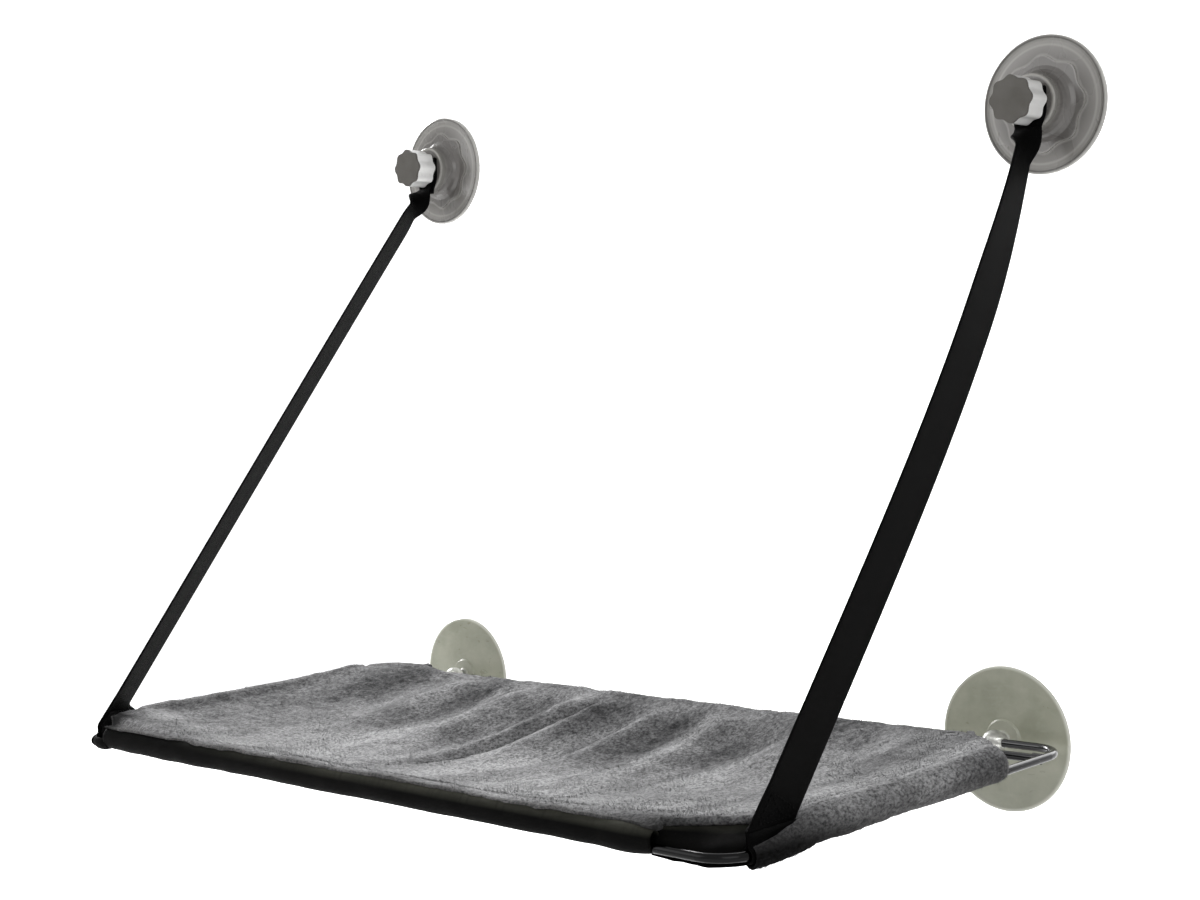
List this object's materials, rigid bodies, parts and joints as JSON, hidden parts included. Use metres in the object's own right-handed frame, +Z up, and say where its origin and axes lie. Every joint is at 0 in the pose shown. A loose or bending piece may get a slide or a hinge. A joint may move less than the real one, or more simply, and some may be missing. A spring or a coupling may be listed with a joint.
{
  "type": "window mounted cat perch",
  "caption": "Hammock perch: a wire frame with a sagging plush cover, held on a window by suction cups and webbing straps, with clamp knobs.",
  "frame": {"origin": "on the window glass, level with the back rail's centre line and midway along it", "axes": "+X along the back rail to the right seen from the room, +Y from the room into the window, +Z up"},
  "size_m": [0.677, 0.357, 0.5267],
  "materials": {
    "upper_cup_pvc": "smooth translucent grey soft plastic",
    "lower_cup_pvc": "clear soft plastic with a greenish grey cast",
    "zinc_steel": "zinc plated",
    "webbing": "black woven webbing",
    "knob_plastic": "silver white gloss",
    "knob_face_plastic": "dark warm grey, matte",
    "insert_brass": "machined",
    "chrome_wire": "bright plated wire",
    "plush": "short crushed grey plush",
    "lining_cloth": "dark plain weave",
    "front_sleeve_cloth": "near-black smooth cloth"
  },
  "bodies": {
    "window_side": {"upper_cup_left": "upper_cup_pvc", "upper_cup_right": "upper_cup_pvc", "upper_stud_left": "zinc_steel", "upper_stud_right": "zinc_steel", "strap_tab_left": "webbing", "strap_tab_right": "webbing", "strap_run_left": "webbing", "strap_run_right": "webbing"},
    "perch": {"frame_loop": "chrome_wire", "cross_rail": "chrome_wire", "cover_panel": "plush", "cover_lining": "lining_cloth", "front_sleeve": "front_sleeve_cloth", "rear_sleeve": "plush", "side_sleeve_left": "plush", "side_sleeve_right": "plush", "strap_loop_left": "webbing", "strap_loop_right": "webbing"},
    "lower_cup_left_body": {"lower_cup_left": "lower_cup_pvc"},
    "lower_cup_right_body": {"lower_cup_right": "lower_cup_pvc"},
    "washer_left_body": {"clamp_washer_left": "zinc_steel"},
    "knob_left_body": {"knob_left": "knob_plastic", "knob_insert_left": "insert_brass", "knob_cap_left": "knob_face_plastic"},
    "washer_right_body": {"clamp_washer_right": "zinc_steel"},
    "knob_right_body": {"knob_right": "knob_plastic", "knob_insert_right": "insert_brass", "knob_cap_right": "knob_face_plastic"}
  },
  "joints": [
    {"name": "perch_fold", "type": "hinge", "parent": "window_side", "child": "perch", "pos_m": [0, -0.016, 0], "axis": [-1, 0, 0], "range_deg": [0, 80], "deforming": ["strap_run_left", "strap_run_right"]},
    {"name": "lower_cup_left_slide", "type": "slide", "parent": "window_side", "child": "lower_cup_left_body", "axis": [1, 0, 0], "range_m": [0, 0.06]},
    {"name": "lower_cup_right_slide", "type": "slide", "parent": "window_side", "child": "lower_cup_right_body", "axis": [1, 0, 0], "range_m": [-0.06, 0.024]},
    {"name": "knob_left_travel", "type": "slide", "parent": "window_side", "child": "washer_left_body", "axis": [0, -1, 0], "range_m": [0, 0.008]},
    {"name": "knob_left_turn", "type": "hinge", "parent": "washer_left_body", "child": "knob_left_body", "pos_m": [-0.292, -0.024, 0.433], "axis": [0, -1, 0], "range_deg": [0, 2880]},
    {"name": "knob_right_travel", "type": "slide", "parent": "window_side", "child": "washer_right_body", "axis": [0, -1, 0], "range_m": [0, 0.008]},
    {"name": "knob_right_turn", "type": "hinge", "parent": "washer_right_body", "child": "knob_right_body", "pos_m": [0.295, -0.024, 0.417], "axis": [0, -1, 0], "range_deg": [0, 2880]}
  ],
  "couplings": [
    {"joint": "knob_left_turn", "follows": "knob_left_travel", "rad_per_m": 6283.2},
    {"joint": "knob_right_turn", "follows": "knob_right_travel", "rad_per_m": 6283.2}
  ]
}
